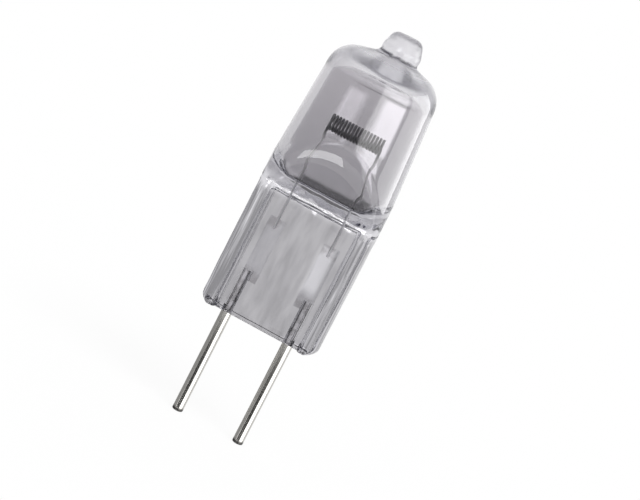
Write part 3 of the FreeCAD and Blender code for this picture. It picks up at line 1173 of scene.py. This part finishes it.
def floor_material():
    """White floor that keeps the lamp's shadow."""
    material, f = new_material("floor")
    lit = f.node("ShaderNodeBsdfDiffuse", {}, {"Color": FLOOR_COLOUR})
    white = f.node("ShaderNodeEmission", {}, {"Color": WHITE, "Strength": 1.0})
    mixed = f.node("ShaderNodeMixShader", {}, {0: FLOOR_GLOW * seen_as_white(f), 1: lit, 2: white})
    f.output({"Surface": mixed})
    return material


def direction(azimuth, elevation):
    """Unit vector from the lamp towards an azimuth and elevation, with azimuth 0 at the front."""
    level = math.cos(elevation)
    return Vector((math.sin(azimuth) * level, -math.cos(azimuth) * level, math.sin(elevation)))


def hide(obj, *rays):
    """Hides an object of the stage from some kinds of ray."""
    for ray in rays:
        setattr(obj, "visible_" + ray, False)


def shown_panel(name, centre, facing, size, brightness, softness, hidden_from):
    """A panel, faded at its edges, that only reflections or only the quartz shows."""
    panel = stage_panel(name, centre, facing, *size)
    material, f = new_material(name)
    place = f.node("ShaderNodeTexCoord", output="UV")
    shown = f.band(f.along(place, "X"), softness, 1 - softness, softness)
    shown = shown * f.band(f.along(place, "Y"), softness, 1 - softness, softness)
    glow = f.node("ShaderNodeEmission", {}, {"Color": WHITE, "Strength": brightness})
    clear = f.node("ShaderNodeBsdfTransparent")
    f.output({"Surface": f.node("ShaderNodeMixShader", {}, {0: shown, 1: clear, 2: glow})})
    panel.data.materials.append(material)
    hide(panel, "camera", "diffuse", "shadow", hidden_from)


def soft_sun(name, azimuth, elevation, brightness):
    """A soft lamp far off that lights an upturned white card to a brightness and shows nowhere."""
    light = bpy.data.lights.new(name, "SUN")
    light.angle = SUN_WIDTH
    light.energy = brightness * math.pi / math.sin(elevation)
    lamp = bpy.data.objects.new(name, light)
    lamp.rotation_mode = "QUATERNION"
    lamp.rotation_quaternion = direction(azimuth, elevation).to_track_quat("Z", "Y")
    hide(lamp, "camera", "glossy", "transmission")
    bpy.context.scene.collection.objects.link(lamp)


class CAPSULE_OT_stage(bpy.types.Operator):
    """Set the floor, the white surroundings, the soft light and the camera"""

    bl_idname = "capsule.stage"
    bl_label = "Stage"

    def execute(self, context):
        s = context.scene.capsule_stage
        scene = context.scene
        scene.view_settings.view_transform = "Standard"
        white_world(scene, s)
        floor_height = scene.capsule_metal.pin_tip
        floor = stage_panel("floor", (0, 0, floor_height), (0, 0, 1), FLOOR_SIZE, FLOOR_SIZE)
        floor.data.materials.append(floor_material())
        hide(floor, "glossy", "transmission")
        soft_sun("key", s.azimuth + SUN_RIGHT, SUN_HEIGHT, s.key_light)
        for name, (start, end, low, high, brightness, softness) in PANELS.items():
            half = math.radians(end - start) / 2
            away = direction(s.azimuth + math.radians(start) + half, 0)
            centre = away * PANEL_DISTANCE + Vector((0, 0, (low + high) / 2))
            size = (2 * PANEL_DISTANCE * math.tan(half), high - low)
            shown_panel(name, centre, -away, size, brightness, softness, "transmission")
        shown_panel("under_panel", *UNDER_PANEL, "transmission")
        behind = direction(s.azimuth + math.pi, 0)
        right = direction(s.azimuth + math.pi / 2, 0)
        for name, (across, up, width, height, brightness, softness) in BACK_LIGHTS.items():
            centre = behind * BACK_DISTANCE + right * across + Vector((0, 0, up))
            shown_panel(name, centre, -behind, (width, height), brightness, softness, "glossy")
        for limit in ("max_bounces", "glossy_bounces", "transmission_bounces"):
            setattr(scene.cycles, limit, BOUNCES)

        camera = bpy.data.cameras.new("camera")
        camera.lens = s.lens
        view = bpy.data.objects.new("camera", camera)
        away = direction(s.azimuth, s.elevation)
        turn = away.to_track_quat("Z", "Y")
        aim = Vector((0, 0, s.aim_height)) + turn @ Vector((s.aim_right, 0, 0))
        view.location = aim + away * (s.frame_width * s.lens / camera.sensor_width)
        view.rotation_mode = "QUATERNION"
        view.rotation_quaternion = turn @ Quaternion((0, 0, 1), s.lean)
        camera.clip_start = 1 * MM
        scene.collection.objects.link(view)
        scene.camera = view
        return {"FINISHED"}


# Panel and registration


class CAPSULE_PT_bulb(bpy.types.Panel):
    """Lists the pieces of the capsule bulb and their sizes"""

    bl_idname = "CAPSULE_PT_bulb"
    bl_label = "Capsule bulb"
    bl_space_type = "VIEW_3D"
    bl_region_type = "UI"
    bl_category = "Capsule bulb"

    def draw(self, context):
        for operator in OPERATORS:
            self.layout.operator(operator.bl_idname)
        for name, group in SETTINGS.items():
            box = self.layout.box()
            box.label(text=group.__doc__)
            for setting in group.__annotations__:
                box.prop(getattr(context.scene, name), setting)


SETTINGS = {
    "capsule_quartz": QuartzSizes,
    "capsule_wire": WireSizes,
    "capsule_metal": SealMetalSizes,
    "capsule_colours": FinishColours,
    "capsule_stage": StageSettings,
}
OPERATORS = [CAPSULE_OT_quartz, CAPSULE_OT_filament, CAPSULE_OT_foils, CAPSULE_OT_pins, CAPSULE_OT_stage]
CLASSES = [*SETTINGS.values(), *OPERATORS, CAPSULE_PT_bulb]


def register():
    for kind in CLASSES:
        bpy.utils.register_class(kind)
    for name, group in SETTINGS.items():
        setattr(bpy.types.Scene, name, PointerProperty(type=group))


def unregister():
    for name in SETTINGS:
        delattr(bpy.types.Scene, name)
    for kind in reversed(CLASSES):
        bpy.utils.unregister_class(kind)


def main():
    """Makes every piece and the stage."""
    register()
    bpy.ops.capsule.quartz()
    bpy.ops.capsule.filament()
    bpy.ops.capsule.foils()
    bpy.ops.capsule.pins()
    bpy.ops.capsule.stage()


if __name__ == "__main__":
    main()
